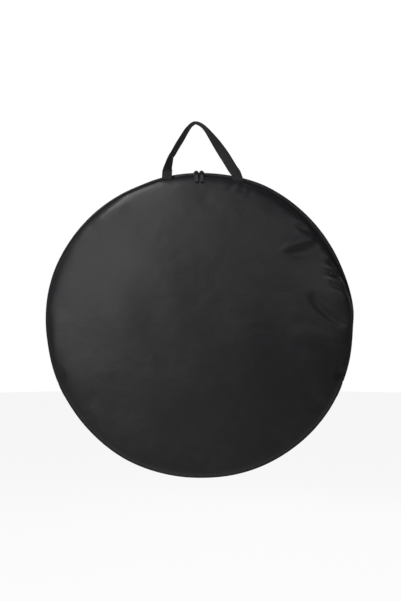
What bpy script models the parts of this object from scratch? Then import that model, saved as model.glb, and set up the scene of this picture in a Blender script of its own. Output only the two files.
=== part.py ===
"""Round padded bag for one bike wheel, closed by a two-way zip and hung by its webbing handle.

World axes: +Z up, the front faces -Y, +X to the right of somebody who looks at the front.
The origin is the underside of the handle's top, where a hook bears. Radii are measured from
the bag's centre, a depth is the distance from the bag's middle plane, and a clock angle runs
clockwise from the top, seen from the front.
"""

from math import cos, degrees, exp, radians, sin, sqrt

import bmesh
import bpy
import numpy as np
from mathutils import Matrix, Vector

# Bag: the round body and the outline of its padded panels
BAG_RADIUS = 0.368
BAND_WIDTH = 0.010
SEAM_DEPTH = 0.009
ROLL_DEPTH = 0.012
ROLL_REACH = 0.008
CROWN_RISE = 0.040
FLAT_RADIUS = 0.060
panel_ring_shares = (0.56, 0.81, 0.95, 0.978)
RING_STEPS = 48
WELD_DISTANCE = 0.00001
CREASE_ANGLE = 40
BEVEL_STEPS = 2

# Layers of the wall, from the outside in
FABRIC = 0.0010
FOAM = 0.0040
LINING = 0.0006
GAP = 0.0003

# Lower rim, where the two panels meet without a zip
FLANGE_WIDTH = 0.0036
FLANGE_SLOPE = 0.0026
FLANGE_SLACK = 0.0014
BINDING_CLOTH = 0.0009
BINDING_WIDTH = 0.0050

# Fold of the front and the ends of the zip, as clock angles in degrees
ZIP_END = 111.0
FOLD_BELOW_ZIP = 0.006
FOLD_GAP = 0.0006
TAPE_OVERRUN = 1.2
TAB_LENGTH = 0.024
TAB_CLOTH = 0.0010
TAB_STEPS = 3
CUT_OVERRUN = 0.050

# Zip: coil halves, tapes and stops
COIL_RADIUS = 0.0013
COIL_SPACING = 0.0020
TAPE_CLOTH = 0.0006
TAPE_EDGE = 0.00075
TAPE_BEND = 0.0040
ZIP_STEPS = 64
STOP_LENGTH = 0.0045

# Seam bindings inside the rim and hub patches inside the walls
SEAM_TAPE_WIDTH = 0.0070
SEAM_TAPE_CLOTH = 0.0008
PATCH_RADIUS = 0.055
PATCH_CLOTH = 0.0012

# Slider casting
SLIDER_LENGTH = 0.0124
SLIDER_NOSE = 0.0098
SLIDER_TAIL = 0.0090
SLIDER_CORNER = 0.0018
SLIDER_PLATE = 0.0013
SLIDER_FLANGE_DROP = 0.0028
SLIDER_CLEARANCE = 0.0004
TONGUE_HALF_WIDTH = 0.0034
WEDGE_WIDTH = 0.0008
WEDGE_LENGTH = 0.0028
WEDGE_SET_BACK = 0.0008
EDGE_ROUND = 0.0005
BRIDGE_LENGTH = 0.0092
BRIDGE_WIRE = 0.00075
BRIDGE_SPACE = 0.0017
BRIDGE_BEND = 0.0010

# Pull: an eye round the bridge and a cranked tab
EYE_CLEARANCE = 0.00035
EYE_WALL = 0.0007
EYE_WIDTH = 0.0024
EYE_SIDES = 16
PULL_THICKNESS = 0.0011
PULL_NECK = 0.0071
neck_share = 0.55
PULL_TAB = 0.0330
PULL_WIDTH = 0.0084
PULL_END_WIDTH = 0.0056
NECK_ANGLE = 70.0
TAB_ANGLE = 37.0

# Sliders side by side at the top, as places across the bag
LEFT_SLIDER_ACROSS = -0.0096
RIGHT_SLIDER_ACROSS = 0.0034

# Handle: webbing from foot to foot, as places across the bag and heights above the rim's top
STRAP_WIDTH = 0.0240
STRAP_THICKNESS = 0.0016
HANDLE_RISE = 0.1206
HANDLE_TOP_ACROSS = -0.0113
LEFT_FOOT_ACROSS = -0.0798
RIGHT_FOOT_ACROSS = 0.0897
LEFT_LEG_ACROSS = -0.0793
RIGHT_LEG_ACROSS = 0.0852
FOOT_TOP_DROP = 0.0030
FOOT_DEPTH = 0.0099
FOOT_SEAT = 0.0006
HINGE_SPACE = 0.00085
FOOT_ARC_STEPS = 6
STRAP_STEPS = 44

# Each leg from its foot to the top: share of the way across, share of the way up, turn in degrees
left_leg_shares = (
    (0.0, 0.0, 0),
    (0.012, 0.05, 16),
    (0.038, 0.131, 42),
    (0.106, 0.27, 64),
    (0.151, 0.342, 75),
    (0.229, 0.41, 77),
    (0.371, 0.552, 76),
    (0.526, 0.693, 74),
    (0.675, 0.834, 80),
    (0.831, 0.947, 87),
    (0.94, 0.991, 90),
    (1.0, 1.0, 90),
)
right_leg_shares = (
    (0.0, 0.0, 0),
    (0.03, 0.036, 8),
    (0.098, 0.115, 20),
    (0.237, 0.298, 31),
    (0.365, 0.454, 45),
    (0.484, 0.593, 57),
    (0.636, 0.763, 71),
    (0.761, 0.889, 81),
    (0.853, 0.954, 87),
    (0.94, 0.99, 90),
    (1.0, 1.0, 90),
)

# Places that follow from the sizes above
RING_STEP = 360 / RING_STEPS
SEAM_RADIUS = BAG_RADIUS - BAND_WIDTH
BAG_CENTRE = Vector((-HANDLE_TOP_ACROSS, 0, -(BAG_RADIUS + HANDLE_RISE - STRAP_THICKNESS)))
FOLD_HEIGHT = BAG_RADIUS * cos(radians(ZIP_END)) - FOLD_BELOW_ZIP
HALF_DEPTH = SEAM_DEPTH + ROLL_DEPTH + CROWN_RISE
COIL_CENTRE = BAG_RADIUS - COIL_RADIUS
TAPE_FACE = COIL_CENTRE - COIL_RADIUS - GAP
PLATE_FACE = BAG_RADIUS + SLIDER_CLEARANCE
PLATE_TOP = PLATE_FACE + SLIDER_PLATE
TONGUE_TOP = TAPE_FACE - TAPE_CLOTH - SLIDER_CLEARANCE - GAP
BRIDGE_RADIUS = PLATE_TOP + BRIDGE_SPACE + BRIDGE_WIRE
FOOT_TOP = BAG_RADIUS - FOOT_TOP_DROP
LOOP_BOTTOM = FOOT_TOP + HINGE_SPACE
FRONT = -1
BACK = 1

# Colours of the materials, from the photograph
BLACK_NYLON = ((0.012, 0.012, 0.014), 0.55, 0.0)
BLACK_WEBBING = ((0.010, 0.010, 0.011), 0.80, 0.0)
GREY_LINING = ((0.060, 0.060, 0.064), 0.70, 0.0)
GREY_FOAM = ((0.120, 0.120, 0.120), 0.95, 0.0)
BLACK_COIL = ((0.015, 0.015, 0.016), 0.40, 0.0)
DARK_METAL = ((0.050, 0.050, 0.054), 0.35, 1.0)
GREY_METAL = ((0.110, 0.110, 0.115), 0.38, 1.0)


def clear_scene():
    for obj in list(bpy.data.objects):
        bpy.data.objects.remove(obj, do_unlink=True)


def new_collection(name):
    collection = bpy.data.collections.new(name)
    bpy.context.scene.collection.children.link(collection)
    return collection


def add_object(name, data, collection, place=BAG_CENTRE):
    obj = bpy.data.objects.new(name, data)
    obj.location = place
    collection.objects.link(obj)
    return obj


def set_material(obj, finish):
    colour, roughness, metallic = finish
    material = bpy.data.materials.new(obj.name)
    material.use_nodes = True
    shader = material.node_tree.nodes["Principled BSDF"]
    shader.inputs["Base Color"].default_value = (*colour, 1)
    shader.inputs["Roughness"].default_value = roughness
    shader.inputs["Metallic"].default_value = metallic
    obj.data.materials.clear()
    obj.data.materials.append(material)


def mark_as_cutter(obj):
    obj.hide_render = True
    obj.display_type = "WIRE"


def bake_mesh(obj):
    """The object's evaluated shape as a closed mesh object of the same name and place."""
    bpy.context.view_layer.update()
    evaluated = obj.evaluated_get(bpy.context.evaluated_depsgraph_get())
    mesh = bpy.data.meshes.new_from_object(evaluated)
    name = obj.name
    place = obj.matrix_world.copy()
    collection = obj.users_collection[0]
    bpy.data.objects.remove(obj, do_unlink=True)
    work = bmesh.new()
    work.from_mesh(mesh)
    bmesh.ops.remove_doubles(work, verts=work.verts, dist=WELD_DISTANCE)
    bmesh.ops.recalc_face_normals(work, faces=work.faces)
    work.to_mesh(mesh)
    work.free()
    baked = add_object(name, mesh, collection)
    baked.matrix_world = place
    return baked


def combine(base, tool, operation):
    """Joins a tool to the base, or cuts it away, and removes the tool."""
    modifier = base.modifiers.new(operation.title(), "BOOLEAN")
    modifier.operation = operation
    modifier.object = tool
    joined = bake_mesh(base)
    bpy.data.objects.remove(tool, do_unlink=True)
    return joined


def box(name, low, high, collection, place=BAG_CENTRE):
    work = bmesh.new()
    bmesh.ops.create_cube(work, size=1)
    size = Vector(high) - Vector(low)
    middle = (Vector(high) + Vector(low)) / 2
    bmesh.ops.transform(work, matrix=Matrix.LocRotScale(middle, None, size), verts=work.verts)
    mesh = bpy.data.meshes.new(name)
    work.to_mesh(mesh)
    work.free()
    return add_object(name, mesh, collection, place)


def flat_plate(name, outline, thickness, collection):
    """A 2D outline in the curve's own XY plane, filled and as thick as asked, centred on it."""
    curve = bpy.data.curves.new(name, "CURVE")
    curve.dimensions = "2D"
    curve.fill_mode = "BOTH"
    curve.extrude = thickness / 2
    spline = curve.splines.new("POLY")
    spline.points.add(len(outline) - 1)
    for point, (across, along) in zip(spline.points, outline):
        point.co = (across, along, 0, 1)
    spline.use_cyclic_u = True
    return add_object(name, curve, collection)


def tube(name, points, radius, collection):
    curve = bpy.data.curves.new(name, "CURVE")
    curve.dimensions = "3D"
    curve.bevel_depth = radius
    curve.bevel_resolution = BEVEL_STEPS
    curve.use_fill_caps = True
    spline = curve.splines.new("POLY")
    spline.points.add(len(points) - 1)
    for point, place in zip(spline.points, points):
        point.co = (*place, 1)
    spline.use_smooth = True
    return add_object(name, curve, collection)


def at_clock(angle, radius, y):
    """The point at a clock angle and radius, relative to the bag's centre."""
    return Vector((radius * sin(radians(angle)), y, radius * cos(radians(angle))))


def turned(name, outline, cloth, collection, side=FRONT, start=0, sweep=360, steps=RING_STEPS):
    """A shell turned about the bag's axis.

    Its outer face follows the outline, (radius, depth) points from the axis outwards, and
    its cloth lies inside that face. A sector starts at a clock angle and sweeps clockwise.
    """
    ordered = outline[::-1] if side == FRONT else outline
    points = [at_clock(start, radius, side * depth) for radius, depth in ordered]
    mesh = bpy.data.meshes.new(name)
    mesh.from_pydata(points, [(k, k + 1) for k in range(len(points) - 1)], [])
    obj = add_object(name, mesh, collection)
    screw = obj.modifiers.new("Screw", "SCREW")
    screw.axis = "Y"
    screw.angle = radians(sweep)
    screw.steps = steps
    screw.render_steps = steps
    screw.use_merge_vertices = sweep == 360
    screw.merge_threshold = WELD_DISTANCE
    screw.use_smooth_shade = True
    wall = obj.modifiers.new("Solidify", "SOLIDIFY")
    wall.thickness = cloth
    wall.offset = -1
    wall.use_even_offset = True
    return obj


def panel_depth(radius):
    """Depth of a panel's outer face: flat at the hub, crowned, and rolled in at the seam."""
    share = max(0, (radius - FLAT_RADIUS) / (SEAM_RADIUS - FLAT_RADIUS))
    roll = 1 - exp(-(SEAM_RADIUS - radius) / ROLL_REACH)
    return SEAM_DEPTH + ROLL_DEPTH * roll + CROWN_RISE * (1 - share**2)


def panel_outline():
    """The panel's outer face from the hub to its seam, as (radius, depth) points."""
    radii = [FLAT_RADIUS, *(share * SEAM_RADIUS for share in panel_ring_shares), SEAM_RADIUS]
    return [(0, HALF_DEPTH)] + [(radius, panel_depth(radius)) for radius in radii]


def inset_outline(points, inset):
    """The outline moved inside by the inset, square to each of its runs, with mitred corners."""
    runs = [Vector(after) - Vector(before) for before, after in zip(points, points[1:])]
    normals = [Vector((run.y, -run.x)).normalized() for run in runs]
    moved = []
    for point, before, after in zip(points, normals[:1] + normals, normals + normals[-1:]):
        mitre = (before + after).normalized()
        moved.append(tuple(Vector(point) + mitre * inset / mitre.dot(after)))
    return moved


def flange_outline():
    """The panel's outer face carried past its seam to the flat flange of the lower rim."""
    flange_depth = GAP + FABRIC
    end = BAG_RADIUS - BINDING_CLOTH - FLANGE_SLACK
    return panel_outline() + [
        (SEAM_RADIUS + FLANGE_SLOPE, flange_depth + FABRIC),
        (end - FLANGE_WIDTH, flange_depth),
        (end, flange_depth),
    ]


def cut_with(obj, cutter):
    cut = obj.modifiers.new("Cut", "BOOLEAN")
    cut.operation = "DIFFERENCE"
    cut.object = cutter
    return obj


def smooth(obj):
    obj.data.shade_smooth()
    obj.data.set_sharp_from_angle(angle=radians(CREASE_ANGLE))


# Cutters

def make_cutters(cutters):
    reach = BAG_RADIUS + CUT_OVERRUN
    below = box(
        "cut_below_fold",
        (-reach, -reach, -reach),
        (reach, reach, FOLD_HEIGHT + FOLD_GAP / 2),
        cutters,
    )
    above = box(
        "cut_above_fold",
        (-reach, -reach, FOLD_HEIGHT - FOLD_GAP / 2),
        (reach, reach, reach),
        cutters,
    )
    steps = round(ZIP_END / RING_STEP)
    half = steps * RING_STEP
    ring = [(SEAM_RADIUS + GAP / 3, HALF_DEPTH), (reach, HALF_DEPTH)]
    band = turned("cut_zip_band", ring, 2 * HALF_DEPTH, cutters, FRONT, -half, 2 * half, 2 * steps)
    for cutter in (below, above, band):
        mark_as_cutter(cutter)
    return below, above, band


# Walls: outer cloth, padding and lining of the back and of the two parts of the front

def make_wall_layer(name, outline, cloth, finish, bag, side, cutter=None):
    obj = turned(name, outline, cloth, bag, side)
    if cutter:
        cut_with(obj, cutter)
    set_material(obj, finish)
    return obj


def foam_outline():
    """The foam stops at the last ring before the seam, so that the seam stays thin."""
    return inset_outline(panel_outline(), FABRIC + GAP)[:-1]


def lining_outline():
    """The lining follows the foam and closes over its edge towards the seam."""
    covered = inset_outline(panel_outline(), FABRIC + FOAM + 2 * GAP)
    tucked = inset_outline(panel_outline(), FABRIC + SEAM_TAPE_CLOTH + 2 * GAP)
    return covered[:-1] + tucked[-1:]


def make_walls(bag, cutters):
    below, above, band = cutters
    cloth = flange_outline()
    make_wall_layer("back_panel", cloth, FABRIC, BLACK_NYLON, bag, BACK, band)
    make_wall_layer("back_padding", foam_outline(), FOAM, GREY_FOAM, bag, BACK)
    make_wall_layer("back_lining", lining_outline(), LINING, GREY_LINING, bag, BACK)
    make_wall_layer("lower_front_panel", cloth, FABRIC, BLACK_NYLON, bag, FRONT, above)
    make_wall_layer("lower_front_padding", foam_outline(), FOAM, GREY_FOAM, bag, FRONT, above)
    make_wall_layer("lower_front_lining", lining_outline(), LINING, GREY_LINING, bag, FRONT, above)
    upper = panel_outline()
    make_wall_layer("upper_front_panel", upper, FABRIC, BLACK_NYLON, bag, FRONT, below)
    make_wall_layer("upper_front_padding", foam_outline(), FOAM, GREY_FOAM, bag, FRONT, below)
    make_wall_layer("upper_front_lining", lining_outline(), LINING, GREY_LINING, bag, FRONT, below)


def make_hub_patch(name, side, bag):
    depth = HALF_DEPTH - FABRIC - FOAM - LINING - 3 * GAP
    patch = turned(name, [(0, depth), (PATCH_RADIUS, depth)], PATCH_CLOTH, bag, side)
    set_material(patch, BLACK_NYLON)


# Rim: seam bindings inside, binding of the lower rim and tabs over the zip ends

def make_seam_binding(name, side, bag):
    before, seam = [Vector(point) for point in inset_outline(panel_outline(), FABRIC + GAP)[-2:]]
    inner_edge = seam + (before - seam).normalized() * SEAM_TAPE_WIDTH
    outline = [tuple(inner_edge), tuple(seam)]
    steps = round(ZIP_END / RING_STEP)
    half = steps * RING_STEP
    strip = turned(name, outline, SEAM_TAPE_CLOTH, bag, side, -half, 2 * half, 2 * steps)
    set_material(strip, BLACK_WEBBING)


def folded_outline(outer_radius, half_depth, width):
    """A strip folded round the rim: front leg, rounded fold and back leg."""
    shoulder = outer_radius - half_depth / 2
    inner = outer_radius - width
    return [
        (inner, half_depth),
        (shoulder, half_depth),
        (outer_radius, half_depth / 2),
        (outer_radius, -half_depth / 2),
        (shoulder, -half_depth),
        (inner, -half_depth),
    ]


def make_rim_binding(bag):
    half_depth = FABRIC + BINDING_CLOTH + 2 * GAP
    start = ZIP_END + 2 * TAPE_OVERRUN
    sweep = 360 - 2 * start
    steps = round(sweep / RING_STEP)
    outline = folded_outline(BAG_RADIUS, half_depth, BINDING_WIDTH)
    strip = turned("lower_rim_binding", outline, BINDING_CLOTH, bag, FRONT, start, sweep, steps)
    set_material(strip, BLACK_WEBBING)


def make_end_tab(name, side_sign, bag):
    half_depth = FABRIC + BINDING_CLOTH + TAB_CLOTH + 3 * GAP
    sweep = degrees(TAB_LENGTH / BAG_RADIUS)
    first = ZIP_END + 2 * TAPE_OVERRUN
    start = first if side_sign > 0 else -first - sweep
    radius = BAG_RADIUS + TAB_CLOTH + GAP
    outline = folded_outline(radius, half_depth, BINDING_WIDTH + TAB_CLOTH)
    tab = turned(name, outline, TAB_CLOTH, bag, FRONT, start, sweep, TAB_STEPS)
    set_material(tab, BLACK_NYLON)


# Zip

def make_zip_tape(name, side, reach, bag):
    outline = [
        (SEAM_RADIUS + 3 * GAP, SEAM_DEPTH - GAP),
        (TAPE_FACE, TAPE_BEND),
        (TAPE_FACE, TAPE_EDGE),
    ]
    tape = turned(name, outline, TAPE_CLOTH, bag, side, -reach, 2 * reach, ZIP_STEPS)
    set_material(tape, BLACK_WEBBING)


def make_coil(name, side, bag):
    angles = [-ZIP_END + 2 * ZIP_END * k / ZIP_STEPS for k in range(ZIP_STEPS + 1)]
    points = [at_clock(angle, COIL_CENTRE, side * COIL_SPACING) for angle in angles]
    coil = tube(name, points, COIL_RADIUS, bag)
    set_material(coil, BLACK_COIL)


def make_stop(name, side_sign, bag):
    """A bottom stop clamped on the back tape, just past the end of both coils."""
    half = COIL_SPACING + COIL_RADIUS
    low = (GAP, -half, TAPE_FACE + GAP)
    high = (STOP_LENGTH, half, BAG_RADIUS)
    stop = box(name, low, high, bag)
    stop.rotation_euler = (0, radians(ZIP_END), 0)
    if side_sign < 0:
        stop.rotation_euler = (0, radians(-ZIP_END), 0)
        stop.data.transform(Matrix.Translation((-STOP_LENGTH - GAP, 0, 0)))
    rounding = stop.modifiers.new("Bevel", "BEVEL")
    rounding.width = EDGE_ROUND
    rounding.segments = BEVEL_STEPS
    set_material(stop, DARK_METAL)


# Sliders and pulls, modelled upright at the top of the rim with the nose towards +X

def slider_plan(nose, tail):
    """Outline of a slider plate seen from outside: wide nose, narrower tail, cut corners."""
    half = SLIDER_LENGTH / 2
    cut = SLIDER_CORNER
    upper = [
        (half, nose / 2 - cut),
        (half - cut, nose / 2),
        (-half + cut, tail / 2),
        (-half, tail / 2 - cut),
    ]
    lower = [(x, -y) for x, y in reversed(upper)]
    return upper + lower


def lifted_plate(name, outline, low, high, bag):
    plate = bake_mesh(flat_plate(name, outline, high - low, bag))
    plate.data.transform(Matrix.Translation((0, 0, (low + high) / 2)))
    return plate


def make_slider(name, bag):
    cap = lifted_plate(
        name, slider_plan(SLIDER_NOSE, SLIDER_TAIL), PLATE_FACE - SLIDER_FLANGE_DROP, PLATE_TOP, bag
    )
    rounding = cap.modifiers.new("Bevel", "BEVEL")
    rounding.width = EDGE_ROUND
    rounding.segments = BEVEL_STEPS
    cap = bake_mesh(cap)
    channel = COIL_SPACING + COIL_RADIUS + SLIDER_CLEARANCE
    length = SLIDER_LENGTH
    groove = box(
        "groove", (-length, -channel, TONGUE_TOP), (length, channel, PLATE_FACE), bag
    )
    cap = combine(cap, groove, "DIFFERENCE")
    wedge_nose = SLIDER_LENGTH / 2 - WEDGE_SET_BACK
    wedge = box(
        "wedge",
        (wedge_nose - WEDGE_LENGTH, -WEDGE_WIDTH / 2, TONGUE_TOP - SLIDER_PLATE / 2),
        (wedge_nose, WEDGE_WIDTH / 2, PLATE_FACE + SLIDER_PLATE / 2),
        bag,
    )
    cap = combine(cap, wedge, "UNION")
    tongue_width = 2 * TONGUE_HALF_WIDTH
    tongue = lifted_plate(
        "tongue", slider_plan(tongue_width, tongue_width), TONGUE_TOP - SLIDER_PLATE, TONGUE_TOP, bag
    )
    cap = combine(cap, tongue, "UNION")
    half = BRIDGE_LENGTH / 2 - BRIDGE_WIRE
    foot = PLATE_TOP - SLIDER_PLATE / 2
    route = [
        (-half, 0, foot),
        (-half, 0, BRIDGE_RADIUS - BRIDGE_BEND),
        (-half + BRIDGE_BEND, 0, BRIDGE_RADIUS),
        (half - BRIDGE_BEND, 0, BRIDGE_RADIUS),
        (half, 0, BRIDGE_RADIUS - BRIDGE_BEND),
        (half, 0, foot),
    ]
    bridge = bake_mesh(tube("bridge", route, BRIDGE_WIRE, bag))
    return combine(cap, bridge, "UNION")


def cylinder_along_x(name, radius, length, bag):
    work = bmesh.new()
    bmesh.ops.create_cone(
        work, cap_ends=True, segments=EYE_SIDES, radius1=radius, radius2=radius, depth=length
    )
    bmesh.ops.rotate(work, verts=work.verts, matrix=Matrix.Rotation(radians(90), 3, "Y"))
    mesh = bpy.data.meshes.new(name)
    work.to_mesh(mesh)
    work.free()
    return add_object(name, mesh, bag)


def make_pull(name, bag):
    """The tab leaves the eye over the slider's edge, then cranks down along the front panel."""
    bore = BRIDGE_WIRE + EYE_CLEARANCE
    neck = Vector((0, -sin(radians(NECK_ANGLE)), -cos(radians(NECK_ANGLE))))
    tab = Vector((0, -sin(radians(TAB_ANGLE)), -cos(radians(TAB_ANGLE))))
    shoulder = PULL_NECK * neck_share
    bend = neck * PULL_NECK
    corner = (PULL_WIDTH - PULL_END_WIDTH) / 2
    rows = [
        (neck * bore, EYE_WIDTH),
        (neck * shoulder, EYE_WIDTH),
        (bend, PULL_WIDTH),
        (bend + tab * (PULL_TAB - corner), PULL_WIDTH),
        (bend + tab * PULL_TAB, PULL_END_WIDTH),
    ]
    points = []
    for centre, width in rows:
        points += [centre - Vector((width / 2, 0, 0)), centre + Vector((width / 2, 0, 0))]
    faces = [(2 * k, 2 * k + 1, 2 * k + 3, 2 * k + 2) for k in range(len(rows) - 1)]
    mesh = bpy.data.meshes.new("tab")
    mesh.from_pydata(points, [], faces)
    blade = add_object("tab", mesh, bag)
    wall = blade.modifiers.new("Solidify", "SOLIDIFY")
    wall.thickness = PULL_THICKNESS
    wall.offset = 0
    wall.use_even_offset = True
    blade = bake_mesh(blade)
    pull = cylinder_along_x(name, bore + EYE_WALL, EYE_WIDTH, bag)
    pull = combine(pull, blade, "UNION")
    hole = cylinder_along_x("hole", bore, PULL_WIDTH, bag)
    return combine(pull, hole, "DIFFERENCE")


def place_on_rim(obj, across, radius, half_turn):
    """Seats a piece modelled at the origin on the rim, at a place across the bag."""
    angle = np.arcsin(across / BAG_RADIUS)
    turn = Matrix.Rotation(angle, 4, "Y")
    if half_turn:
        obj.data.transform(Matrix.Rotation(radians(180), 4, "Z"))
    obj.location = BAG_CENTRE + turn @ Vector((0, 0, radius))
    obj.rotation_euler = (0, angle, 0)


def make_sliders(bag):
    for side, across in (("left", LEFT_SLIDER_ACROSS), ("right", RIGHT_SLIDER_ACROSS)):
        slider = make_slider("zip_slider_" + side, bag)
        place_on_rim(slider, across, 0, side == "right")
        smooth(slider)
        set_material(slider, DARK_METAL)
        pull = make_pull("zip_pull_" + side, bag)
        place_on_rim(pull, across, BRIDGE_RADIUS, False)
        smooth(pull)
        set_material(pull, GREY_METAL)


# Handle

def make_foot(name, bottom_across, top_across, bag):
    """The sewn end of the webbing, cut along the seam that it is sewn into."""
    half = STRAP_WIDTH / 2
    seam = SEAM_RADIUS + FOOT_SEAT
    outline = [(top_across - half, FOOT_TOP)]
    for step in range(FOOT_ARC_STEPS + 1):
        across = bottom_across - half + STRAP_WIDTH * step / FOOT_ARC_STEPS
        outline.append((across, sqrt(seam**2 - across**2)))
    outline.append((top_across + half, FOOT_TOP))
    foot = flat_plate(name, outline, STRAP_THICKNESS, bag)
    foot.rotation_euler = (radians(90), 0, 0)
    foot.location = BAG_CENTRE + Vector((0, -FOOT_DEPTH, 0))
    set_material(foot, BLACK_WEBBING)


def leg_stations(shares, leg_across):
    rise = BAG_RADIUS + HANDLE_RISE - STRAP_THICKNESS / 2 - LOOP_BOTTOM
    stations = []
    for across_share, rise_share, turn in shares:
        across = leg_across + (HANDLE_TOP_ACROSS - leg_across) * across_share
        lean = -FOOT_DEPTH * (1 - rise_share)
        stations.append((across, lean, LOOP_BOTTOM + rise * rise_share, turn))
    return stations


def smooth_route(stations, count):
    """Points of a smooth curve through the stations, evenly spaced along it."""
    knots = np.array(stations, dtype=float)
    padded = np.vstack([2 * knots[0] - knots[1], knots, 2 * knots[-1] - knots[-2]])
    fine = []
    for k in range(1, len(padded) - 2):
        before, here, after, beyond = padded[k - 1 : k + 3]
        for t in np.linspace(0, 1, STRAP_STEPS, endpoint=False):
            bend = 2 * before - 5 * here + 4 * after - beyond
            swing = 3 * here - before - 3 * after + beyond
            fine.append(here + ((after - before) * t + bend * t**2 + swing * t**3) / 2)
    fine.append(knots[-1])
    fine = np.array(fine)
    lengths = np.linalg.norm(np.diff(fine[:, :3], axis=0), axis=1)
    along = np.concatenate([[0], np.cumsum(lengths)])
    wanted = np.linspace(0, along[-1], count + 1)
    return np.column_stack([np.interp(wanted, along, fine[:, k]) for k in range(4)])


def make_handle(bag):
    """One strap lofted from leg to leg: it faces the front at the feet and lies flat at the top."""
    left = leg_stations(left_leg_shares, LEFT_LEG_ACROSS)
    right = leg_stations(right_leg_shares, RIGHT_LEG_ACROSS)
    route = smooth_route(left + right[-2::-1], STRAP_STEPS)
    tangents = np.gradient(route[:, :3], axis=0)
    points = []
    for row, tangent in zip(route, tangents):
        outward = Vector((-tangent[2], 0, tangent[0])).normalized()
        turn = radians(row[3])
        across = outward * cos(turn) + Vector((0, -1, 0)) * sin(turn)
        if turn == 0:
            across = Vector((np.sign(outward.x), 0, 0))
        centre = Vector(row[:3])
        points += [centre - across * STRAP_WIDTH / 2, centre + across * STRAP_WIDTH / 2]
    rows = len(route)
    faces = [(2 * k, 2 * k + 1, 2 * k + 3, 2 * k + 2) for k in range(rows - 1)]
    pivot = Vector((0, -FOOT_DEPTH, LOOP_BOTTOM))
    mesh = bpy.data.meshes.new("handle_strap")
    mesh.from_pydata([point - pivot for point in points], [], faces)
    strap = add_object("handle_strap", mesh, bag, BAG_CENTRE + pivot)
    wall = strap.modifiers.new("Solidify", "SOLIDIFY")
    wall.thickness = STRAP_THICKNESS
    wall.offset = 0
    wall.use_even_offset = True
    strap.data.shade_smooth()
    set_material(strap, BLACK_WEBBING)
    make_foot("handle_foot_left", LEFT_FOOT_ACROSS, LEFT_LEG_ACROSS, bag)
    make_foot("handle_foot_right", RIGHT_FOOT_ACROSS, RIGHT_LEG_ACROSS, bag)


def build():
    clear_scene()
    bag = new_collection("bike_wheel_bag")
    cutters = make_cutters(new_collection("cutters"))
    make_walls(bag, cutters)
    for side, name in ((BACK, "back"), (FRONT, "front")):
        make_hub_patch(name + "_hub_patch", side, bag)
        make_seam_binding(name + "_seam_binding", side, bag)
        make_coil(name + "_zip_coil", side, bag)
    make_zip_tape("back_zip_tape", BACK, ZIP_END + TAPE_OVERRUN, bag)
    make_zip_tape("front_zip_tape", FRONT, ZIP_END, bag)
    make_rim_binding(bag)
    for sign, name in ((-1, "left"), (1, "right")):
        make_end_tab("zip_end_tab_" + name, sign, bag)
        make_stop("zip_stop_" + name, sign, bag)
    make_sliders(bag)
    make_handle(bag)


build()
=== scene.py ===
"""Dressed model of a round padded bag for one bike wheel, hung by its webbing handle.

World axes: +Z up, the front faces -Y, +X to the right. A clock angle is in degrees, runs
clockwise from the top as seen from the front, and a depth is a distance from the bag's middle
plane towards the wall's own side. Lengths are in metres.
"""
from math import cos, pi, radians, sin, tau

import bmesh
import bpy
import numpy as np
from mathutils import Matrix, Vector


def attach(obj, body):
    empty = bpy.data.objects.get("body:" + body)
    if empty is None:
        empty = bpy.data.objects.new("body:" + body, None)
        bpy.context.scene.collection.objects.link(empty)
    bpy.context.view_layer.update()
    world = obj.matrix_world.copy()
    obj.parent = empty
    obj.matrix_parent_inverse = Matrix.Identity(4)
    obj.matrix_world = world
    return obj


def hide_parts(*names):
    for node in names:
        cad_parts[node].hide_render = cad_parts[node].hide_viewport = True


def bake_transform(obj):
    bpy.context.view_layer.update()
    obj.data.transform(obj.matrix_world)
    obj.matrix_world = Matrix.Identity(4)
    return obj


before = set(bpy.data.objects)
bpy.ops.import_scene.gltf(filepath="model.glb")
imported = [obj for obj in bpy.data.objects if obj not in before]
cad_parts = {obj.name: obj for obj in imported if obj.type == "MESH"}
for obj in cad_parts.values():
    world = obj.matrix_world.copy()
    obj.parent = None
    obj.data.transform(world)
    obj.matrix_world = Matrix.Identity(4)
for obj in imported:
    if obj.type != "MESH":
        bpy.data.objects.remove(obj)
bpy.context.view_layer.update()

FRONT = -1
BACK = 1

# The bag, as the frame has it
CENTRE = np.array((0.0113, 0.0, -0.4870))
BAG_RADIUS = 0.368
ZIP_END = 111.0
FOLD_Z = -0.6249
FOLD_BLEND = (FOLD_Z - 0.042, FOLD_Z + 0.010)

# Walls: thicknesses, depths, and how far the back wall's edge lies inside the rim
CLOTH = 0.0010
PAD = 0.0046
AIR = 0.0004
SEAM_DEPTH = 0.0090
SEAM_PULL = 0.0078
HEM_DEPTH = 0.0026
SHOULDER_DEPTH = 0.0210
CROWN_RISE = 0.0400
FLAT_RADIUS = 0.060
ROLL_REACH = 0.0085
BACK_INSET = 0.0098
HEM_INSET = 0.0022
SWELL_HEIGHT = 0.0022
SWELL_SEEDS = {FRONT: 11, BACK: 12}
STEEP_DROP = 0.0012

# Hub patches
PATCH_RADIUS = 0.055
PATCH_CLOTH = 0.0014
PATCH_DEPTH = SHOULDER_DEPTH + CROWN_RISE - CLOTH - AIR - PAD - 0.0012

# How far the rim swells beyond its circle, as (clock angle, millimetres)
RIM_SWELLS = (
    (-180, -2.6), (-166, -1.8), (-150, 0), (-136, -1.2), (-122, -1.2), (-111, 0.6),
    (-103, 0.9), (-97, 0.9), (-90, 3.4), (-80, 6.2), (-70, 7.6), (-60, 6.4), (-50, 5.2),
    (-40, 3.6), (-30, 1.2), (-23, -1), (-16, 0.4), (-8, 0), (6, 0), (14, 1.4),
    (24, 3.8), (40, 2), (58, 0.8), (68, 0.2), (78, 2.2), (85, 3.4), (90, -1),
    (96, -0.8), (104, 0.8), (112, 1.2), (122, 2.4), (134, 2.2), (146, 1.2), (158, 0.6),
    (168, -0.7), (174, -2),
)

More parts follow.
